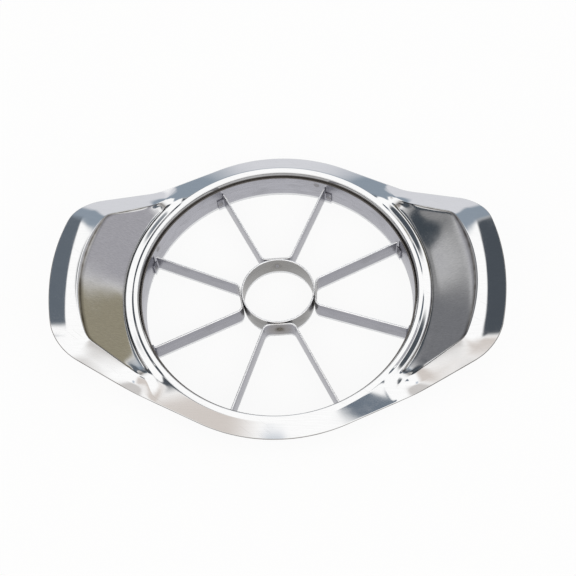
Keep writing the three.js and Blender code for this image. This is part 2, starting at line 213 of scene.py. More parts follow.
class CutterSizes(bpy.types.PropertyGroup):
    """Sizes of the band, the corer tube and the blade strips."""

    band_radius: length("Band radius", "Outside of the cutting band", BAND_BOX[1].x / MM)
    band_height: length("Band height", "Height of the cutting band", BAND_BOX[1].z / MM)
    band_wall: length("Band wall", "Thickness of the cutting band", 0.7)
    corer_bore: length("Corer bore", "Inner radius of the corer tube", 13)
    corer_height: length("Corer height", "Height of the corer tube", CORER_BOX[1].z / MM)
    strip_wall: length("Strip", "Thickness of the corer and of the blade strips", 0.6)
    seam_angle: angle("Seam place", "Where the seam lies", -12)
    blade_height: length("Blade height", "Height of the blade strips", STRIP_BOX[1].z / MM)
    tab_height: length("Tab height", "Height of the tabs on the band", 6)
    tab_length: length("Tab length", "Length of the tabs on the band", 3)
    flat_width: length("Flat width", "Width of the flat on the corer", 10.6)
    flat_bend: length("Flat bend", "Radius of the bends beside the flat", 2.6)
    tab_bend: length("Tab bend", "Radius of the bend into a tab", 0.8)
    gap: length("Gap", "Gap between pieces that touch", 0.05)
    grind_height: length("Ground edge", "Height of the ground lower edge", 1.5)
    edge_width: length("Edge width", "Width of the cutting edge", 0.3)
    deburr: length("Deburred edge", "Width of the rounding on sheared edges", 0.08)
    weld_radius: length("Weld radius", "Radius of a spot weld's mark", 1.1)
    weld_dimple: length("Weld dimple", "Depth of the electrode's dimple", 0.02)
    weld_proud: length("Weld proud", "How far a weld's mark stands out of the sheet", 0.03)
    weld_spacing: length("Weld spacing", "From a blade to the band's weld beside it", 3.4)
    band_facets: steps("Band facets", "Faces round the band", 256)
    corer_facets: steps("Corer facets", "Faces round the corer tube; the seam takes one", 208)


class Finishes(bpy.types.PropertyGroup):
    """Colours of the steel and its marks, with the light and shade painted on it, and how fine its
    surface is.
    """

    polished: colour("Polished sheet", "Buffed stainless sheet", "#dfe0e2")
    rolled: colour("Rolled strip", "Cold-rolled stainless strip of the band", "#b4b4bb")
    # The blade strip is set to a darker grey than the band's strip
    blade: colour("Blade strip", "Strip of the blades, of a darker coil", "#a2a2a9")
    # Painted shade of the crevice under the bead, on the band's dull sheared upper edge
    sheared_and_painted_shade: colour("Sheared edge", "Upper edge of the band, dull as sheared", "#6f6b68")
    # A painted highlight on the upper edges of the corer and the blades
    bright: colour("Bright edge", "Upper edges of the corer and the blades", "#f4f4f6")
    # The corer strip is set to a darker grey than the band's strip
    corer: colour("Corer strip", "Strip of the corer, darkened by its welds' heat", "#9b9a99")
    # Heat tints round the welds: oxide, and with it painted shade in the gaps between the strips'
    # flats and the corer and beside the tabs
    straw_and_painted_shade: colour("Straw tint", "Thin oxide, farther from a weld", "#86817a")
    tint: colour("Brown tint", "Thick oxide, next to a weld", "#4c463e")
    # Buffing residue, with painted shade beside the pads' walls, under the bead and on the trimmed
    # edge
    residue_and_painted_shade: colour("Residue", "Buffing compound left in corners and on edges", "#57534f")
    floor: colour("Floor", "Pale floor", "#f8f8f8")
    floor_white: portion("White of the floor", "Share that stays white in shadow", 0.9)
    polished_roughness: portion("Roughness of the buffed sheet", "Left by the buffing wheel", 0.05)
    pad_roughness: portion("Roughness of the pads", "Where the wheel doesn't reach", 0.09)
    rolled_roughness: portion("Roughness of the rolled strip", "Left by the mill", 0.24)
    wave_depth: length("Wave depth", "Depth of the drawn sheet's waves", 0.02)
    grain_depth: length("Grain depth", "Depth of the rolled grain", 0.01)
    # How far the tints and their painted shade reach from a weld
    straw_shade_reach: length("Straw tint reach", "How far the straw tint goes from a weld", 7)
    tint_shade_reach: length("Brown tint reach", "How far the brown tint goes from a weld", 2.7)
    border: length("Edge blur", "Softness of the ground and the sheared edges' borders", 0.1)


# Shape of the pressed frame

def smoothstep(value, low, high):
    share = min(max((value - low) / (high - low), 0), 1)
    return share * share * (3 - 2 * share)


def lerp(a, b, share):
    return a + (b - a) * share


def soft_max(a, b, blend):
    """The larger of two lengths, rounded where they cross."""
    return (a + b + math.sqrt((a - b) ** 2 + blend ** 2)) / 2


def polar(radius, turn):
    return Vector((math.cos(turn), math.sin(turn))) * radius


def handle_outline(reach, end_radius, flank_offset, flank_normal, corner_radius):
    """One quarter of a handle's outline seen from the origin: an end arc about a centre on the X
    axis, a fillet and a straight flank. Returns the radius at an angle."""
    end_centre = Vector((reach - end_radius, 0))
    normal = polar(1, flank_normal)
    along = polar(1, flank_normal - math.pi / 2)
    foot = normal * (flank_offset - corner_radius)
    from_end = foot - end_centre
    projection = from_end.dot(along)
    slack = (end_radius - corner_radius) ** 2 - from_end.length_squared + projection ** 2
    corner = foot + along * (math.sqrt(slack) - projection)
    on_end = end_centre + (corner - end_centre).normalized() * end_radius
    on_flank = corner + normal * corner_radius
    end_turn = math.atan2(on_end.y, on_end.x)
    flank_turn = math.atan2(on_flank.y, on_flank.x)

    def radius_at(turn):
        if turn <= end_turn:
            return ray_to_circle(turn, end_centre, end_radius)
        if turn <= flank_turn:
            return ray_to_circle(turn, corner, corner_radius)
        return flank_offset / math.cos(turn - flank_normal)

    return radius_at


def ray_to_circle(turn, centre, radius):
    """Distance from the origin to the far side of a circle, along a ray at this angle."""
    along = centre.dot(polar(1, turn))
    return along + math.sqrt(max(0, radius ** 2 - centre.length_squared + along ** 2))


def folded(turn):
    """An angle's like in the quarter between +X and +Y."""
    return math.atan2(abs(math.sin(turn)), abs(math.cos(turn)))


class FrameShape:
    """The section of the pressed frame at any angle round the opening."""

    def __init__(self, sizes):
        self.s = sizes
        self.groove = sizes.collar_radius + sizes.bead_width
        self.rim = self.groove + sizes.rim_width
        self.rim_height = sizes.band_height + sizes.rim_rise
        self.flank_normal = math.pi / 2 - sizes.flank_angle
        self.flank_outline = handle_outline(
            self.rim + sizes.handle_length, sizes.end_radius, self.rim, self.flank_normal,
            sizes.corner_radius,
        )
        self.pad_outline = handle_outline(
            self.groove + sizes.pad_length, sizes.pad_end_radius, self.groove + sizes.pad_standoff,
            math.pi / 2 - sizes.pad_flank_angle, sizes.pad_corner_radius,
        )

    def edge_radius(self, turn):
        return self.flank_outline(turn) if turn < self.flank_normal else self.rim

    def edge_height(self, x):
        """Height of the trimmed edge: level beside the ring, bent up along the handle, flared."""
        s = self.s
        past = x - (self.groove - s.upsweep_inset)
        bent = min(max(past, 0), s.upsweep_bend) ** 2 / (2 * s.upsweep_bend)
        straight = max(0, past - s.upsweep_bend)
        flare_start = self.groove + s.pad_length
        flare_length = self.rim + s.handle_length - flare_start
        flare = s.end_flare * (max(0, x - flare_start) / flare_length) ** 2
        return self.rim_height + math.tan(s.upsweep) * (bent + straight) + flare

    def along_pad(self, x):
        """Share of the way from a pad's tips to its end wall."""
        s = self.s
        along = (x - (self.groove - s.upsweep_inset)) / (s.pad_length + s.upsweep_inset)
        return min(max(along, 0), 1)

    def by_end(self, x):
        """1 beside a pad's end wall, and 0 along its flanks."""
        return smoothstep(self.along_pad(x), PAD_END_SHARE, 1)

    def pad_floor(self, turn):
        """Radii between which a pad's floor lies, and the width of the wall past it."""
        s = self.s
        inner = self.groove + s.ridge_offset + s.ridge_width + s.ridge_wall
        least = inner + s.pad_least_width
        top = self.pad_outline(turn)
        wall = lerp(s.flank_wall, s.pad_wall, self.by_end(top * math.cos(turn)))
        return inner, soft_max(top - wall, least, s.pad_wall / 2), wall

    def pad_depth(self, turn):
        """1 along a pad, and 0 past its tips."""
        return 1 - smoothstep(turn, self.s.pad_tip - self.s.pad_tip_fade, self.s.pad_tip)

    def crest_height(self, radius, turn):
        s = self.s
        x = radius * math.cos(turn)
        return self.edge_height(x) + lerp(s.crest_tip_rise, s.crest_end_rise, self.along_pad(x))

    def pad_slope(self, turn):
        """Slope of a pad's floor that leaves its outer wall the depth it should have there."""
        s = self.s
        inner, outer, wall = self.pad_floor(turn)
        by_end = self.by_end((outer + wall) * math.cos(turn))
        depth = lerp(s.pad_flank_depth, s.pad_outer_depth, by_end)
        height = self.crest_height(outer + wall, turn) - depth
        foot = s.band_height + s.ridge_rise - s.pad_inner_depth
        return min((height - foot) / (outer - inner), PAD_STEEPEST)

    def even_slope(self, turn):
        """The slope of a pad's floor, evened out over the angles beside it."""
        reach = self.s.pad_evening
        slopes = [self.pad_slope(abs(turn + reach * step / EVENING_STEPS))
                  for step in range(-EVENING_STEPS, EVENING_STEPS + 1)]
        return sum(slopes) / len(slopes)

    def handle_corners(self, turn, groove, edge):
        """Corners of a handle's upper face between the groove and the trimmed edge."""
        s = self.s
        ridge = self.groove + s.ridge_offset
        ridge_height = s.band_height + s.ridge_rise
        pad_inner, pad_outer, wall = self.pad_floor(turn)
        wall_top = pad_outer + wall
        crest_height = self.crest_height(wall_top, turn)
        depth = self.pad_depth(turn)
        by_end = self.by_end(wall_top * math.cos(turn))
        slope = self.even_slope(turn)

        def floor(share):
            radius = lerp(pad_inner, pad_outer, share)
            height = ridge_height - s.pad_inner_depth + slope * (radius - pad_inner)
            height = min(height, crest_height - s.pad_flank_depth / 2)
            return radius, lerp(lerp(ridge_height, crest_height, share), height, depth)

        crest = (wall_top + lerp(s.flank_wall, s.crest_width, by_end), crest_height)
        land_share = max(LAND_LEAST_SHARE, 1 - s.lip_width / (edge[0] - crest[0]))
        sag = s.land_sag * (1 - smoothstep(turn, s.lip_end, s.lip_end + s.lip_fade))
        land = (lerp(crest[0], edge[0], land_share), lerp(crest[1], edge[1], land_share) - sag)
        groove_side = lerp(groove[1], ridge_height, s.groove_width / s.ridge_offset)
        return [
            (self.groove + s.groove_width, groove_side),
            (ridge, ridge_height),
            (ridge + s.ridge_width, ridge_height),
            floor(0),
            *[floor(share) for share in PAD_SHARES],
            floor(1),
            (wall_top, crest_height),
            crest,
            land,
        ]

    def upper(self, turn):
        """Upper face from the collar's lower edge to the trimmed edge, as (radius, height). Past
        the pads' tips the handle's corners run out into the plain rim."""
        s = self.s
        by_handle = 1 - smoothstep(turn, s.pad_tip, s.pad_tip + s.handle_fade)
        bead = [
            (s.collar_radius + across * s.bead_width, s.band_height + up * s.bead_rise)
            for across, up in BEAD_SHARES
        ]
        past_tip = smoothstep(turn, s.pad_tip - s.pad_tip_fade, s.pad_tip + s.handle_fade / 2)
        depth = s.groove_depth * smoothstep(turn, 0, s.groove_start) * (1 - past_tip)
        lift = s.groove_lift * (1 - by_handle)
        groove = (self.groove, s.band_height + s.bead_rise + lift - depth)
        outer = self.edge_radius(turn)
        edge = (outer, self.edge_height(outer * math.cos(turn)))
        rim_start = s.groove_width / (edge[0] - self.groove)
        handle = self.handle_corners(turn, groove, edge)
        middle = []
        for index, (radius, height) in enumerate(handle):
            share = lerp(rim_start, 1, index / len(handle))
            middle.append((
                lerp(lerp(self.groove, edge[0], share), radius, by_handle),
                lerp(lerp(groove[1], edge[1], share), height, by_handle),
            ))
        collar = (s.collar_radius, s.band_height - s.collar_depth)
        return [Vector(point) for point in [collar, *bead, groove, *middle, edge]]

    def finish_at(self, turn, corner):
        """How much of the pads' duller finish, and of the polishing residue with its painted
        shade, a point of the section has. The corners are counted from the collar's lower edge."""
        depth = self.pad_depth(turn)
        on_pad = PAD_WALLS[0] < corner < PAD_WALLS[1]
        # Painted shade, with residue, beside the pads' walls
        walls = depth * max(beside(corner, wall, *WALL_RESIDUE_AND_SHADE) for wall in PAD_WALLS)
        # The residue and painted shade on a pad are thickest halfway along the run-out of its
        # tips.
        tips = 4 * depth * (1 - depth) * on_pad
        # Painted shade, with residue, on the collar under the bead
        most, steepness = COLLAR_RESIDUE_AND_SHADE
        collar = min(most, steepness * (1 - corner / BEAD_TOP))
        # A painted dark line, with residue, on the trimmed edge
        edge = beside(corner, TRIMMED_EDGE, *EDGE_RESIDUE_AND_SHADE)
        return depth * on_pad, max(walls, tips, edge, collar)

    def section(self, turn):
        """Closed section at an angle from +X, with its bends rounded."""
        upper = self.upper(folded(turn))
        lower = other_face(upper, self.s.sheet)
        edge = self.s.sheet / 2
        bead = [self.s.bead_bend] * (len(BEAD_SHARES) + 1)
        free = [self.rim] * (len(upper) - len(bead) - 2)
        limits = [edge, *bead, *free, edge]
        return rounded(upper + lower[::-1], limits + limits[::-1], self.s.corner_steps)


def beside(corner, middle, reach, steepness):
    """1 at a place between two corners of the section, and 0 at this reach from it."""
    return min(1, max(0, steepness * (reach - abs(corner - middle))))


def other_face(section, thickness):
    """The sheet's other face: each point moved square to the section by the thickness."""
    moved = []
    for index, point in enumerate(section):
        into = (point - section[max(0, index - 1)]).normalized()
        out = (section[min(len(section) - 1, index + 1)] - point).normalized()
        along = (into + out).normalized()
        moved.append(point + Vector((along.y, -along.x)) * thickness)
    return moved


def rounded(loop, limits, count):
    """A closed outline with each corner replaced by a curve that starts and ends no farther from
    the corner than its limit, and no farther than the middle of a side."""
    points = []
    for index, corner in enumerate(loop):
        before = loop[index - 1] - corner
        after = loop[(index + 1) % len(loop)] - corner
        start = corner + before * min(0.5, limits[index] / before.length)
        end = corner + after * min(0.5, limits[index] / after.length)
        for step in range(count):
            share = (step + 0.5) / count
            points.append(start.lerp(corner, share).lerp(corner.lerp(end, share), share))
    return points


# Modelling helpers

def deselect():
    if bpy.context.object and bpy.context.object.mode != "OBJECT":
        bpy.ops.object.mode_set(mode="OBJECT")
    bpy.ops.object.select_all(action="DESELECT")


def finish_piece(piece, name, node, material, smooth=25):
    """Names a piece, gives it its finish and lets it stand for its node."""
    piece.name = name
    piece.data.name = name
    piece.data.materials.clear()
    piece.data.materials.append(material)
    deselect()
    piece.select_set(True)
    bpy.context.view_layer.objects.active = piece
    bpy.ops.object.transform_apply(location=True, rotation=True, scale=True)
    bpy.ops.object.shade_smooth_by_angle(angle=math.radians(smooth))
    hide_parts(node)
    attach(piece, "root")
    return piece


def edit_mesh(piece):
    """The piece's mesh in edit mode."""
    if piece.mode != "EDIT":
        bpy.ops.object.mode_set(mode="EDIT")
    return bmesh.from_edit_mesh(piece.data)


def apply(piece, kind, **settings):
    """Adds a modifier with its settings and applies it."""
    modifier = piece.modifiers.new(kind.title(), kind)
    for key, value in settings.items():
        setattr(modifier, key, value)
    bpy.ops.object.modifier_apply(modifier=modifier.name)


class SLICER_OT_press_frame(bpy.types.Operator):
    """Presses the frame: a ring drawn out, loop by loop, to the section at each angle"""

    bl_idname = "slicer.press_frame"
    bl_label = "Press the frame"

    def execute(self, context):
        sizes = context.scene.slicer_frame
        shape = FrameShape(sizes)
        count = sizes.ring_steps
        turns = [2 * math.pi * step / count for step in range(count)]
        sections = [shape.section(turn) for turn in turns]
        deselect()
        bpy.ops.mesh.primitive_circle_add(vertices=count, radius=sizes.collar_radius)
        piece = context.object
        mesh = edit_mesh(piece)
        for name in FINISH_MARKS:
            mesh.verts.layers.float.new(name)
        bpy.ops.mesh.select_all(action="SELECT")
        for loop in range(len(sections[0])):
            if loop:
                bpy.ops.mesh.extrude_edges_move()
            mesh = edit_mesh(piece)
            ring = sorted((vert for vert in mesh.verts if vert.select), key=turn_of)
            place_ring(mesh, ring, shape, turns, sections, loop)
        join_ends(piece, count)
        bpy.ops.mesh.select_all(action="SELECT")
        bpy.ops.mesh.normals_make_consistent(inside=False)
        bpy.ops.object.mode_set(mode="OBJECT")
        finish_piece(piece, "pressed_frame", "frame", buffed_sheet(), smooth=60)
        apply(piece, "WEIGHTED_NORMAL", keep_sharp=True)
        return {"FINISHED"}


def turn_of(vert):
    """A point's angle from +X, round the opening."""
    return math.atan2(vert.co.y, vert.co.x) % FULL_TURN


def place_ring(mesh, ring, shape, turns, sections, loop):
    """Moves a ring of points to one place of each section, and stores its finish in them."""
    marks = [mesh.verts.layers.float[name] for name in FINISH_MARKS]
    for vert, turn, section in zip(ring, turns, sections):
        radius, height = section[loop]
        vert.co = (radius * math.cos(turn), radius * math.sin(turn), height)
        corner = (loop + 0.5) / shape.s.corner_steps
        for mark, value in zip(marks, shape.finish_at(folded(turn), corner)):
            vert[mark] = value


def join_ends(piece, count):
    """Bridges the last loop of a closed section back to the first."""
    mesh = edit_mesh(piece)
    bpy.ops.mesh.select_all(action="DESELECT")
    bpy.ops.mesh.select_mode(type="EDGE")
    for edge in mesh.edges:
        if len(edge.link_faces) == 1:
            edge.select = True
    bmesh.update_edit_mesh(piece.data)
    bpy.ops.mesh.bridge_edge_loops()


# Rolled and bent strip

def cut_level(piece, height):
    """Cuts a loop through the whole piece at one height."""
    edit_mesh(piece)
    bpy.ops.mesh.select_all(action="SELECT")
    bpy.ops.mesh.bisect(plane_co=(0, 0, height), plane_no=(0, 0, 1))


def thicken(piece, wall, sizes):
    """Gives a strip its wall, thinner at the ground lower edge, and breaks its sheared edges."""
    bpy.ops.mesh.select_all(action="SELECT")
    bpy.ops.mesh.remove_doubles(threshold=sizes.deburr / 4)
    bpy.ops.mesh.normals_make_consistent(inside=False)
    bpy.ops.object.mode_set(mode="OBJECT")
    group = piece.vertex_groups.new(name="wall")
    for vert in piece.data.vertices:
        whole = vert.co.z > sizes.deburr
        group.add([vert.index], 1 if whole else sizes.edge_width / wall, "REPLACE")
    apply(piece, "SOLIDIFY", thickness=wall, offset=0, use_even_offset=True,
          vertex_group=group.name)
    apply(piece, "BEVEL", width=sizes.deburr, **BROKEN_EDGE)
    piece.vertex_groups.clear()


def roll(radius, height, facets, sizes):
    """A strip rolled to a ring that stands on the floor, cut where its lower edge is ground."""
    deselect()
    bpy.ops.mesh.primitive_cylinder_add(
        vertices=facets, radius=radius, depth=height, end_fill_type="NOTHING",
        location=(0, 0, height / 2),
    )
    piece = bpy.context.object
    bpy.ops.object.transform_apply(location=True)
    cut_level(piece, sizes.grind_height)
    return piece


class SLICER_OT_roll_band(bpy.types.Operator):
    """Rolls the cutting band"""

    bl_idname = "slicer.roll_band"
    bl_label = "Roll the cutting band"

    def execute(self, context):
        sizes = context.scene.slicer_cutter
        radius = sizes.band_radius - sizes.band_wall / 2
        piece = roll(radius, sizes.band_height, sizes.band_facets, sizes)
        thicken(piece, sizes.band_wall, sizes)
        welds = [weld for strip in STRIPS.values() for weld in strip_welds(strip, sizes)[1:]]
        finish = context.scene.slicer_finish
        # The band's upper edge takes painted shade
        material = rolled_strip("rolled_band_strip", middles(welds), sizes.band_height,
                                finish.rolled, finish.sheared_and_painted_shade, heat=0.1)
        finish_piece(piece, "rolled_band", "cutting_band", material)
        return {"FINISHED"}


class SLICER_OT_roll_corer(bpy.types.Operator):
    """Rolls the corer tube and leaves its butt seam open"""

    bl_idname = "slicer.roll_corer"
    bl_label = "Roll the corer tube"

    def execute(self, context):
        sizes = context.scene.slicer_cutter
        radius = sizes.corer_bore + sizes.strip_wall / 2
        piece = roll(radius, sizes.corer_height, sizes.corer_facets, sizes)
        seam = polar(radius, sizes.seam_angle).to_3d()
        bpy.ops.mesh.select_all(action="DESELECT")
        mesh = edit_mesh(piece)
        for face in mesh.faces:
            middle = face.calc_center_median()
            middle.z = 0
            face.select = (middle - seam).length < radius * math.pi / sizes.corer_facets
        bmesh.update_edit_mesh(piece.data)
        bpy.ops.mesh.delete(type="FACE")
        thicken(piece, sizes.strip_wall, sizes)
        welds = [strip_welds(strip, sizes)[0] for strip in STRIPS.values()]
        finish = context.scene.slicer_finish
        # The corer's upper edge takes a painted highlight
        material = rolled_strip("rolled_corer_strip", middles(welds), sizes.corer_height,
                                finish.corer, finish.bright, heat=0.3)
        finish_piece(piece, "rolled_corer", "corer_tube", material)
        return {"FINISHED"}


def bend_round(before, corner, after, radius):
    """Start, end, middle and turn of the round bend between two straight runs."""
    back = (before - corner).normalized()
    ahead = (after - corner).normalized()
    half = back.angle(ahead) / 2
    reach = radius / math.tan(half)
    middle = corner + (back + ahead).normalized() * (radius / math.sin(half))
    side = 1 if back.x * ahead.y - back.y * ahead.x > 0 else -1
    return corner + back * reach, corner + ahead * reach, middle, -side * (math.pi - 2 * half)


def strip_sides(strip, sizes):
    """For both blades of a strip, the bend beside its flat, the bend into its tab, and the turn of
    the tab round the band."""
    wall = sizes.strip_wall
    tab_radius = sizes.band_radius - sizes.band_wall - sizes.gap - wall / 2
    facing = math.radians(strip["flat"])
    middle = polar(sizes.corer_bore + wall + sizes.gap + wall / 2, facing)
    sides = []
    for side, end_degrees in zip((-1, 1), strip["ends"]):
        end = math.radians(end_degrees)
        away = side * strip["turn"]
        shoulder = middle + polar(sizes.flat_width / 2, facing + side * math.pi / 2)
        heel = polar(tab_radius, end)
        along_tab = heel + polar(sizes.tab_length, end + away * math.pi / 2)
        sides.append((
            bend_round(middle, shoulder, heel, sizes.flat_bend),
            bend_round(shoulder, heel, along_tab, sizes.tab_bend),
            away * (sizes.tab_length - sizes.tab_bend) / tab_radius,
        ))
    return sides


def spin(count, turn, middle):
    """Draws the selection round an upright axis, anticlockwise seen from above."""
    bpy.ops.mesh.spin(steps=count, angle=turn, center=(*middle, 0), axis=(0, 0, -1))


def keep_selected_below(piece, height):
    """Lets go of the selected edges above a height."""
    mesh = edit_mesh(piece)
    kept = [
        edge for edge in mesh.edges
        if edge.select and max(vert.co.z for vert in edge.verts) <= height
    ]
    bpy.ops.mesh.select_all(action="DESELECT")
    for edge in kept:
        edge.select = True
    bmesh.update_edit_mesh(piece.data)


def draw_out_blade(piece, start_bend, tab_bend, tab_turn, sizes):
    """From the selected end of the flat: the bend, the blade, the bend into the tab, and the tab,
    which is lower than the blade."""
    _, blade_start, middle, turn = start_bend
    spin(FLAT_BEND_STEPS, turn, middle)
    blade_end, _, tab_middle, tab_bend_turn = tab_bend
    run = (blade_end - blade_start).to_3d()
    for share in BLADE_SHARES:
        bpy.ops.mesh.extrude_edges_move(TRANSFORM_OT_translate={"value": run * share})
    spin(TAB_BEND_STEPS // 2, tab_bend_turn / 2, tab_middle)
    keep_selected_below(piece, sizes.tab_height + sizes.deburr)
    spin(TAB_BEND_STEPS // 2, tab_bend_turn / 2, tab_middle)
    spin(TAB_STEPS, tab_turn, (0, 0))


class SLICER_OT_bend_strips(bpy.types.Operator):
    """Bends the four blade strips"""

    bl_idname = "slicer.bend_strips"
    bl_label = "Bend the blade strips"

    def execute(self, context):
        sizes = context.scene.slicer_cutter
        height = sizes.blade_height
        for name, strip in STRIPS.items():
            sides = strip_sides(strip, sizes)
            ends = [start_bend[0] for start_bend, _, _ in sides]
            middle = (ends[0] + ends[1]) / 2
            deselect()
            bpy.ops.mesh.primitive_plane_add(size=1, location=(*middle, height / 2))
            piece = context.object
            piece.scale = ((ends[1] - ends[0]).length, height, 1)
            piece.rotation_euler = (math.pi / 2, 0, math.radians(strip["flat"]) + math.pi / 2)
            bpy.ops.object.transform_apply(location=True, rotation=True, scale=True)
            cut_level(piece, sizes.grind_height)
            cut_level(piece, sizes.tab_height)
            bpy.ops.mesh.select_mode(type="EDGE")
            for end, side in zip(ends, sides):
                bpy.ops.mesh.select_all(action="DESELECT")
                mesh = edit_mesh(piece)
                for edge in mesh.edges:
                    away = max((vert.co.xy - end).length for vert in edge.verts)
                    edge.select = away < sizes.deburr
                bmesh.update_edit_mesh(piece.data)
                draw_out_blade(piece, *side, sizes)
            thicken(piece, sizes.strip_wall, sizes)
            # The weld on the flat tints it, with painted shade in the gap against the corer
            welds = strip_welds(strip, sizes)[:1]
            finish = context.scene.slicer_finish
            # The blades' upper edges take a painted highlight
            material = rolled_strip(f"rolled_{name}_strip", middles(welds), sizes.blade_height,
                                    finish.blade, finish.bright)
            finish_piece(piece, f"blades_{name}", f"blade_strip_{name}", material)
        return {"FINISHED"}


# Spot welds

# Places of a strip's welds, in the order in which strip_welds gives them
WELD_NODES = ("corer_{}", "tab_{}_1", "tab_{}_2", "band_{}")


def strip_welds(strip, sizes):
    """The welds of a strip, as (angle, height, from, to): through its flat into the corer, through
    each tab into the band, and beside its first blade through the band into the frame's collar."""
    wall = sizes.strip_wall
    opening = sizes.band_radius - sizes.band_wall
    tab_radius = opening - sizes.gap - wall / 2
    blade_middle = (sizes.grind_height + sizes.blade_height) / 2
    tab_middle = (sizes.grind_height + sizes.tab_height) / 2
    flat_outside = sizes.corer_bore + 2 * wall + sizes.gap
    welds = [(math.radians(strip["flat"]), blade_middle, sizes.corer_bore, flat_outside)]
    for side, end in zip((-1, 1), strip["ends"]):
        middle = side * strip["turn"] * (sizes.tab_length + sizes.tab_bend) / 2 / tab_radius
        tab_inside = tab_radius - wall / 2
        welds.append((math.radians(end) + middle, tab_middle, tab_inside, sizes.band_radius))
    centre = sizes.band_radius - sizes.band_wall / 2
    beside = math.radians(strip["ends"][0]) + strip["turn"] * sizes.weld_spacing / centre
    frame_sizes = bpy.context.scene.slicer_frame
    height = sizes.band_height - frame_sizes.collar_depth / 2
    welds.append((beside, height, opening, frame_sizes.collar_radius + frame_sizes.sheet))
    return welds


def middles(welds):
    """The middle of each weld."""
    return [(*polar((start + end) / 2, turn), height) for turn, height, start, end in welds]


def model_weld(run, sizes):
    """One weld's mark along X: a short plug with a shallow dimple in both ends."""
    deselect()
    bpy.ops.mesh.primitive_cylinder_add(
        vertices=WELD_FACETS, radius=sizes.weld_radius, depth=run + 2 * sizes.weld_proud,
        rotation=(0, math.pi / 2, 0),
    )
    piece = bpy.context.object
    bpy.ops.object.transform_apply(rotation=True)
    for side in (-1, 1):
        mesh = edit_mesh(piece)
        bpy.ops.mesh.select_mode(type="FACE")
        bpy.ops.mesh.select_all(action="DESELECT")
        for face in mesh.faces:
            face.select = face.normal.x * side > FACING
        bmesh.update_edit_mesh(piece.data)
        for _ in range(WELD_DIMPLE_STEPS):
            bpy.ops.mesh.inset(thickness=sizes.weld_radius / 4)
            step = -side * sizes.weld_dimple / WELD_DIMPLE_STEPS
            bpy.ops.transform.translate(value=(step, 0, 0))
    bpy.ops.object.mode_set(mode="OBJECT")
    apply(piece, "BEVEL", width=sizes.weld_proud / 2, **BROKEN_EDGE)
    return piece


class SLICER_OT_mark_welds(bpy.types.Operator):
    """Marks the spot welds: each kind is modelled once and copied to its places"""

    bl_idname = "slicer.mark_welds"
    bl_label = "Mark the spot welds"

    def execute(self, context):
        sizes = context.scene.slicer_cutter
        welds = {name: strip_welds(strip, sizes) for name, strip in STRIPS.items()}
        # The weld on the front strip's flat kept its scale. It is mostly wiped off the others.
        scaled = weld_scale("scaled_weld_steel", 1)
        wiped = weld_scale("wiped_weld_steel", WIPED_SCALE)
        for index, node in enumerate(WELD_NODES):
            _, _, start, end = welds["front"][index]
            pattern = model_weld(end - start, sizes)
            for name in STRIPS:
                turn, height, start, end = welds[name][index]
                deselect()
                pattern.select_set(True)
                context.view_layer.objects.active = pattern
                bpy.ops.object.duplicate()
                piece = context.object
                piece.rotation_euler = (0, 0, turn)
                piece.location = (*polar((start + end) / 2, turn), height)
                place = node.format(name)
                material = scaled if place == "corer_front" else wiped
                finish_piece(piece, f"mark_{place}", f"weld_{place}", material)
            bpy.data.objects.remove(pattern)
        return {"FINISHED"}


# Finishes

# Settings of a Map Range node that eases at both ends, and of a Mix node that mixes colours
EASED = {"interpolation_type": "SMOOTHSTEP"}
COLOURS = {"data_type": "RGBA"}

# Ranges of a noise: most of its values, the patches of haze, oil stains and weld scale, and the
# few highest values, which make scratches
MOST = (0.3, 0.7)
HAZE = (0.35, 0.75)
STAINS = (0.45, 0.75)
FLAKES = (0.35, 0.65)
SCRATCHES = (0.7, 0.78)
SCRATCH_SLANT = math.radians(35)

# Levels of the steel's colour: along a buffing line, along and between the lines in the pads, in a
# scratch, along the rolled grain and in an oil stain
LINE_LEVEL = 0.96
PAD_LEVELS = (0.84, 0.98)
SCRATCH_LEVEL = 0.6
GRAIN_LEVEL = 0.85
STAIN_LEVEL = 0.7

# How strong a mark gets, the tints' painted shade with them, and how much of the residue with
# its painted shade and of the wiped welds' scale is left
SCRATCH_SHARE = 0.3
STAIN_SHARE = 0.5
STRAW_SHADE_SHARE = 0.6
TINT_SHADE_SHARE = 0.8
LEAST_RESIDUE_AND_SHADE = 0.8
WIPED_SCALE = 0.45

# Where a tint and its painted shade start and where they are full, and how far their border
# wanders, as shares of their reach
TINT_SHADE_BORDER = (1.2, 0.5)
TINT_SHADE_WANDER = 0.4

# Roughness that haze and grain add, and that of weld scale and paint
HAZE_ROUGHNESS = 0.04
GRAIN_ROUGHNESS = 0.1
SCALE_ROUGHNESS = (0.35, 0.6)
PAINT_ROUGHNESS = 0.9

# Depth of a scratch and height of a buffing line, as shares of the waves' depth
SCRATCH_DEPTH = 0.02
LINE_DEPTH = 0.008

# Level of the floor's colour in the paint's stipple
STIPPLE_LEVEL = 0.995


def add(tree, kind, inputs=(), **settings):
    """Adds a node with its settings and links. Its inputs are given by name, or in their order.
    Each is a value, an output, or another node, whose first output is then taken."""
    node = tree.nodes.new("ShaderNode" + kind)
    for name, setting in settings.items():
        setattr(node, name, setting)
    sockets = [socket for socket in node.inputs if socket.enabled]
    if isinstance(inputs, dict):
        sockets = [node.inputs[name] for name in inputs]
        inputs = inputs.values()
    for socket, value in zip(sockets, inputs):
        if isinstance(value, bpy.types.Node):
            value = next(output for output in value.outputs if output.enabled)
        if isinstance(value, bpy.types.NodeSocket):
            tree.links.new(value, socket)
        else:
            socket.default_value = (*value, 1) if socket.type == "RGBA" else value
    return node


def new_material(name):
    """An empty material with its node tree, and the place on the piece for its patterns."""
    material = bpy.data.materials.new(name)
    material.use_nodes = True
    tree = material.node_tree
    tree.nodes.clear()
    return material, tree, add(tree, "TexCoord").outputs["Object"]


def cells(*millimetres):
    """The scale that gives a noise cells of this size along X, Y and Z."""
    return [1 / (size * MM) for size in millimetres]


def darker(shade, share):
    return [level * share for level in shade]


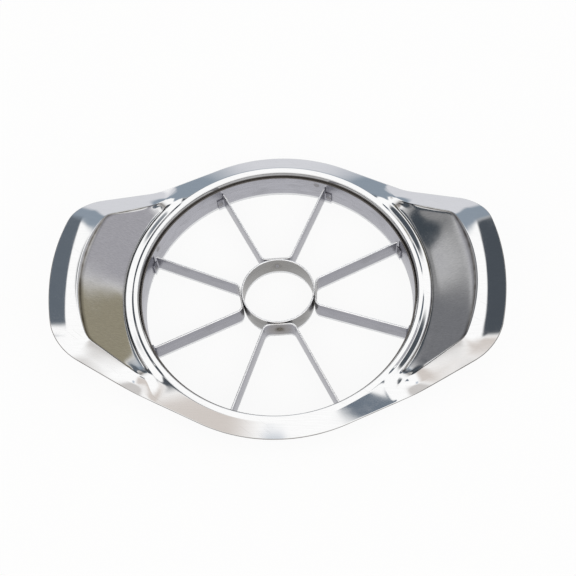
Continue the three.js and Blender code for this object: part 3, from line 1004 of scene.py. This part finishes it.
def buffed_sheet():
    """Stainless sheet, drawn in a press and buffed.

    Buffing leaves it nearly as bright as a mirror. The eye still finds the long waves of the drawn
    sheet, hair-fine buffing lines along the handles and a few scratches from wiping. The wheel
    doesn't reach into the pads, which keep more of the rolled grain and look duller. Grey residue,
    and painted shade with it, stays beside their walls, on the collar under the bead and on the
    trimmed edge."""
    finish = bpy.context.scene.slicer_finish
    polished = finish.polished
    material, tree, place = new_material("buffed_stainless_sheet")
    # Buffing lines are about 0.05 mm wide. They are drawn 0.2 mm wide and 10 mm long, to show.
    scaled = add(tree, "Mapping", {"Vector": place, "Scale": cells(10, 0.2, 0.8)})
    lines = add(tree, "TexNoise", {"Vector": scaled, "Scale": 1, "Detail": 3})
    # Waves of the drawn sheet, 10 to 13 mm long
    scaled = add(tree, "Mapping", {"Vector": place, "Scale": cells(13, 10, 10)})
    waves = add(tree, "TexNoise", {"Vector": scaled, "Scale": 1, "Detail": 1})
    # Polish haze, in patches of 4 to 6 mm
    scaled = add(tree, "Mapping", {"Vector": place, "Scale": cells(6, 4, 4)})
    haze = add(tree, "TexNoise", {"Vector": scaled, "Scale": 1, "Detail": 4})
    # Scratches, at most 0.3 mm wide and 12 mm long, slanted over the sheet
    slanted = add(tree, "Mapping", {"Vector": place, "Rotation": (0, 0, SCRATCH_SLANT)})
    scaled = add(tree, "Mapping", {"Vector": slanted, "Scale": cells(12, 0.3, 3)})
    scratches = add(tree, "TexNoise", {"Vector": scaled, "Scale": 1, "Detail": 1})
    scratches = add(tree, "MapRange", (scratches, *SCRATCHES), **EASED)
    pad = add(tree, "Attribute", attribute_name="pad").outputs["Fac"]
    residue_and_painted_shade = add(tree, "Attribute", attribute_name="residue_and_painted_shade").outputs["Fac"]

    # The lines show a little on the polished sheet and more in the pads.
    fine = add(tree, "MapRange", (lines, *MOST), **EASED)
    bright = add(tree, "Mix", (fine, darker(polished, LINE_LEVEL), polished), **COLOURS)
    dull = [darker(polished, level) for level in PAD_LEVELS]
    dull = add(tree, "Mix", (fine, *dull), **COLOURS)
    shade = add(tree, "Mix", (pad, bright, dull), **COLOURS)
    scored = add(tree, "Math", (scratches, SCRATCH_SHARE), operation="MULTIPLY")
    shade = add(tree, "Mix", (scored, shade, darker(polished, SCRATCH_LEVEL)), **COLOURS)
    # Residue and painted shade, in patches
    left = add(tree, "MapRange", (haze, *MOST, LEAST_RESIDUE_AND_SHADE, 1), **EASED)
    left = add(tree, "Math", (residue_and_painted_shade, left), operation="MULTIPLY")
    shade = add(tree, "Mix", (left, shade, finish.residue_and_painted_shade), **COLOURS)

    least = finish.polished_roughness
    rough = add(tree, "MapRange", (haze, *HAZE, least, least + HAZE_ROUGHNESS), **EASED)
    more = finish.pad_roughness - least
    rough = add(tree, "Math", (pad, more, rough), operation="MULTIPLY_ADD")
    relief = add(tree, "Math", (scratches, -SCRATCH_DEPTH, waves), operation="MULTIPLY_ADD")
    relief = add(tree, "Math", (lines, LINE_DEPTH, relief), operation="MULTIPLY_ADD")
    normal = add(tree, "Bump", {"Height": relief, "Distance": finish.wave_depth})
    shader = add(tree, "BsdfPrincipled", {
        "Metallic": 1, "Base Color": shade, "Roughness": rough, "Normal": normal,
    })
    add(tree, "OutputMaterial", {"Surface": shader})
    return material


def near(tree, place, points, reach):
    """How near the surface lies to the closest of some points: 1 at the point and 0 beyond the
    reach."""
    distances = [add(tree, "VectorMath", (place, point), operation="DISTANCE") for point in points]
    nearest = distances[0]
    for distance in distances[1:]:
        nearest = add(tree, "Math", (nearest, distance), operation="MINIMUM")
    # The border of a tint and its painted shade wanders, as heat spreads unevenly: by up to a
    # fifth of the reach, in waves of 1.5 mm.
    scaled = add(tree, "Mapping", {"Vector": place, "Scale": cells(1.5, 1.5, 1.5)})
    wander = add(tree, "TexNoise", {"Vector": scaled, "Scale": 1, "Detail": 2})
    border = add(tree, "Math", (wander, reach * TINT_SHADE_WANDER, nearest), operation="MULTIPLY_ADD")
    start, full = TINT_SHADE_BORDER
    return add(tree, "MapRange", (border, reach * start, reach * full), **EASED)


def rolled_strip(name, welds, height, plain, painted_upper_edge, heat=1):
    """Cold-rolled stainless strip as it leaves the mill, with a ground lower edge.

    Rolling leaves a soft grey sheen and a grain along the strip. The ground edge is brighter. The
    upper edge is painted: as painted shade of the crevice under the bead on the band's dull
    sheared edge, and as a painted highlight on the corer and the blades. Where the steel got hot
    round a spot
    weld, it is tinted: brown beside the weld and straw farther out, by this share of the full
    heat.
    The tints also paint shade into the gaps beside the corer and the tabs."""
    finish = bpy.context.scene.slicer_finish
    grind = bpy.context.scene.slicer_cutter.grind_height
    blur = finish.border
    material, tree, place = new_material(name)
    # The rolled grain is some hundredths of a millimetre wide. It is drawn 0.25 mm wide, to show.
    scaled = add(tree, "Mapping", {"Vector": place, "Scale": cells(14, 14, 0.25)})
    grain = add(tree, "TexNoise", {"Vector": scaled, "Scale": 1, "Detail": 4})
    # Stains of the rolling oil, about 6 mm long
    scaled = add(tree, "Mapping", {"Vector": place, "Scale": cells(6, 6, 2.5)})
    stains = add(tree, "TexNoise", {"Vector": scaled, "Scale": 1, "Detail": 4})

    fine = add(tree, "MapRange", (grain, *MOST), **EASED)
    shade = add(tree, "Mix", (fine, darker(plain, GRAIN_LEVEL), plain), **COLOURS)
    stained = add(tree, "MapRange", (stains, *STAINS, 0, STAIN_SHARE), **EASED)
    shade = add(tree, "Mix", (stained, shade, darker(plain, STAIN_LEVEL)), **COLOURS)
    level = add(tree, "SeparateXYZ", {"Vector": place}).outputs["Z"]
    ground = add(tree, "MapRange", (level, grind + blur, grind - blur), **EASED)
    shade = add(tree, "Mix", (ground, shade, finish.polished), **COLOURS)
    # The upper edge: a painted highlight on the corer and the blades, painted shade on the band
    top = add(tree, "MapRange", (level, height - 2 * blur, height - blur / 2), **EASED)
    shade = add(tree, "Mix", (top, shade, painted_upper_edge), **COLOURS)
    # Heat tints round the welds, with painted shade in the gaps beside the corer and the tabs
    for reach, tint, share in (
        (finish.straw_shade_reach, finish.straw_and_painted_shade, STRAW_SHADE_SHARE * heat),
        (finish.tint_shade_reach, finish.tint, TINT_SHADE_SHARE * heat),
    ):
        hot = add(tree, "Math", (near(tree, place, welds, reach), share), operation="MULTIPLY")
        shade = add(tree, "Mix", (hot, shade, tint), **COLOURS)

    least = finish.rolled_roughness
    rough = add(tree, "MapRange", (grain, *MOST, least, least + GRAIN_ROUGHNESS), **EASED)
    normal = add(tree, "Bump", {"Height": grain, "Distance": finish.grain_depth})
    shader = add(tree, "BsdfPrincipled", {
        "Metallic": 1, "Base Color": shade, "Roughness": rough, "Normal": normal,
    })
    add(tree, "OutputMaterial", {"Surface": shader})
    return material


def weld_scale(name, heat):
    """The dimple of a spot weld: steel that the electrode left dull and pitted, and scaled brown
    by this share of the heat."""
    finish = bpy.context.scene.slicer_finish
    material, tree, place = new_material(name)
    tint, straw_and_painted_shade = (
        [lerp(plain, hot, heat) for plain, hot in zip(finish.rolled, shade)]
        for shade in (finish.tint, finish.straw_and_painted_shade)
    )
    # The scale breaks up in flakes of about 0.4 mm.
    scaled = add(tree, "Mapping", {"Vector": place, "Scale": cells(0.4, 0.4, 0.4)})
    flakes = add(tree, "TexNoise", {"Vector": scaled, "Scale": 1, "Detail": 4})
    flaked = add(tree, "MapRange", (flakes, *FLAKES), **EASED)
    shade = add(tree, "Mix", (flaked, tint, straw_and_painted_shade), **COLOURS)
    rough = add(tree, "MapRange", (flakes, *MOST, *SCALE_ROUGHNESS), **EASED)
    normal = add(tree, "Bump", {"Height": flakes, "Distance": finish.grain_depth})
    shader = add(tree, "BsdfPrincipled", {
        "Metallic": 1, "Base Color": shade, "Roughness": rough, "Normal": normal,
    })
    add(tree, "OutputMaterial", {"Surface": shader})
    return material


# Stage

FLOOR_SIZE = 6

# The camera stands in front of the object and above it, and looks down at the opening.
CAMERA_PLACE = (0.019699, -0.158273, 0.283464)
CAMERA_RIGHT = (0.99872, 0.02245, -0.04531)
CAMERA_UP = (0.00332, 0.86491, 0.50192)
CAMERA_LENS = 53.67
CAMERA_SENSOR = 36


class SLICER_OT_set_stage(bpy.types.Operator):
    """Sets the floor, the light and the camera"""

    bl_idname = "slicer.set_stage"
    bl_label = "Set the stage"

    def execute(self, context):
        deselect()
        bpy.ops.mesh.primitive_plane_add(size=FLOOR_SIZE, location=(0, 0, 0))
        floor = context.object
        floor.name = "floor"
        floor.data.materials.append(pale_floor())
        camera_data = bpy.data.cameras.new("camera")
        camera_data.lens = CAMERA_LENS
        camera_data.sensor_width = CAMERA_SENSOR
        camera = bpy.data.objects.new("camera", camera_data)
        right = Vector(CAMERA_RIGHT).normalized()
        up = Vector(CAMERA_UP)
        back = right.cross(up).normalized()
        up = back.cross(right)
        turn = Matrix((right, up, back)).transposed().to_4x4()
        camera.matrix_world = Matrix.Translation(CAMERA_PLACE) @ turn
        context.scene.collection.objects.link(camera)
        context.scene.camera = camera
        context.scene.view_settings.view_transform = "Standard"
        context.scene.world = studio()
        return {"FINISHED"}


# The room, as the polished steel shows it: white, with darker panels, each painted over those
# before it. A panel has its middle, half size and softness, all in the x and y of the direction in
# which it is seen, and the colour that it has in the steel.
ROOM = "#fdfdfd"
PANELS = (
    ((-0.88, 0.4), (0.1, 0.3), (0.04, 0.1), "#a5a5aa"),
    ((-0.09, -0.4), (0.37, 0.23), (0.08, 0.05), "#c9c6c4"),
    ((-0.28, 0.0), (0.12, 0.13), (0.08, 0.06), "#d0c9c4"),
    ((-0.065, -0.1), (0.04, 0.045), (0.02, 0.012), "#bfc6cf"),
    ((0.215, 0.075), (0.045, 0.065), (0.012, 0.015), "#6a7480"),
    ((0.05, 0.93), (0.35, 0.09), (0.06, 0.015), "#d2d3d8"),
    ((-0.02, 0.775), (0.34, 0.075), (0.06, 0.025), "#8a95a1"),
    ((0.62, 0.32), (0.22, 0.2), (0.04, 0.06), "#a3a2a8"),
    ((0.62, 0.71), (0.24, 0.18), (0.04, 0.03), "#918b79"),
    ((-0.61, 0.42), (0.17, 0.24), (0.04, 0.06), "#8b8b8c"),
    ((-0.56, 0.66), (0.2, 0.11), (0.05, 0.05), "#737478"),
    ((-0.68, 0.21), (0.125, 0.12), (0.015, 0.01), "#3f464d"),
    ((-0.335, 0.435), (0.16, 0.265), (0.03, 0.03), "#484e55"),
    ((0.24, 0.49), (0.12, 0.24), (0.02, 0.03), "#5f6770"),
)


def studio():
    """A pale room with soft darker panels, for the polished steel to mirror."""
    steel = bpy.context.scene.slicer_finish.polished
    world = bpy.data.worlds.new("studio")
    world.use_nodes = True
    tree = world.node_tree
    tree.nodes.clear()
    direction = add(tree, "TexCoord").outputs["Generated"]
    across = add(tree, "SeparateXYZ", {"Vector": direction}).outputs

    def lit(hex_colour):
        return [level / mirror for level, mirror in zip(linear(hex_colour), steel)]

    shade = lit(ROOM)
    for middle, half, soft, hex_colour in PANELS:
        masks = []
        for axis in range(2):
            away = add(tree, "Math", (across[axis], middle[axis]), operation="SUBTRACT")
            away = add(tree, "Math", (away,), operation="ABSOLUTE")
            border = (half[axis] + soft[axis], half[axis] - soft[axis])
            masks.append(add(tree, "MapRange", (away, *border), **EASED))
        mask = add(tree, "Math", masks, operation="MULTIPLY")
        shade = add(tree, "Mix", (mask, shade, lit(hex_colour)), **COLOURS)
    add(tree, "OutputWorld", {"Surface": add(tree, "Background", {"Color": shade})})
    return world


def pale_floor():
    """A matt painted board. To the camera, and in the steel, it is mostly an even white, and the
    rest of it takes the object's shadow."""
    finish = bpy.context.scene.slicer_finish
    material, tree, place = new_material("painted_board")
    # Stipple of a paint roller, about 1.5 mm
    scaled = add(tree, "Mapping", {"Vector": place, "Scale": cells(1.5, 1.5, 1.5)})
    stipple = add(tree, "TexNoise", {"Vector": scaled, "Scale": 1, "Detail": 2})
    fine = add(tree, "MapRange", (stipple, *MOST), **EASED)
    shade = add(tree, "Mix", (fine, darker(finish.floor, STIPPLE_LEVEL), finish.floor), **COLOURS)
    normal = add(tree, "Bump", {"Height": stipple, "Distance": finish.grain_depth})
    paint = add(tree, "BsdfPrincipled", {
        "Base Color": shade, "Roughness": PAINT_ROUGHNESS, "Normal": normal,
    })
    glow = add(tree, "Emission", {"Color": (1, 1, 1), "Strength": 1})
    rays = add(tree, "LightPath").outputs
    shown = rays["Is Camera Ray"]
    for kind in ("Is Glossy Ray", "Is Transmission Ray"):
        shown = add(tree, "Math", (shown, rays[kind]), operation="MAXIMUM")
    shown = add(tree, "Math", (shown, finish.floor_white), operation="MULTIPLY")
    blend = add(tree, "MixShader", (shown, paint, glow))
    add(tree, "OutputMaterial", {"Surface": blend})
    return material


GROUPS = (
    ("slicer_frame", FrameSizes),
    ("slicer_cutter", CutterSizes),
    ("slicer_finish", Finishes),
)
OPERATORS = (
    SLICER_OT_press_frame,
    SLICER_OT_roll_band,
    SLICER_OT_roll_corer,
    SLICER_OT_bend_strips,
    SLICER_OT_mark_welds,
    SLICER_OT_set_stage,
)


class SLICER_PT_pieces(bpy.types.Panel):
    """Lists the steps that make the slicer"""

    bl_idname = "SLICER_PT_pieces"
    bl_label = "Apple slicer"
    bl_space_type = "VIEW_3D"
    bl_region_type = "UI"
    bl_category = "Slicer"

    def draw(self, context):
        for operator in OPERATORS:
            self.layout.operator(operator.bl_idname)


def register():
    for name, group in GROUPS:
        bpy.utils.register_class(group)
        setattr(bpy.types.Scene, name, bpy.props.PointerProperty(type=group))
    for shown in (*OPERATORS, SLICER_PT_pieces):
        bpy.utils.register_class(shown)


def unregister():
    for shown in (SLICER_PT_pieces, *reversed(OPERATORS)):
        bpy.utils.unregister_class(shown)
    for name, group in reversed(GROUPS):
        delattr(bpy.types.Scene, name)
        bpy.utils.unregister_class(group)


def main():
    register()
    bpy.ops.slicer.press_frame()
    bpy.ops.slicer.roll_band()
    bpy.ops.slicer.roll_corer()
    bpy.ops.slicer.bend_strips()
    bpy.ops.slicer.mark_welds()
    bpy.ops.slicer.set_stage()


if __name__ == "__main__":
    main()
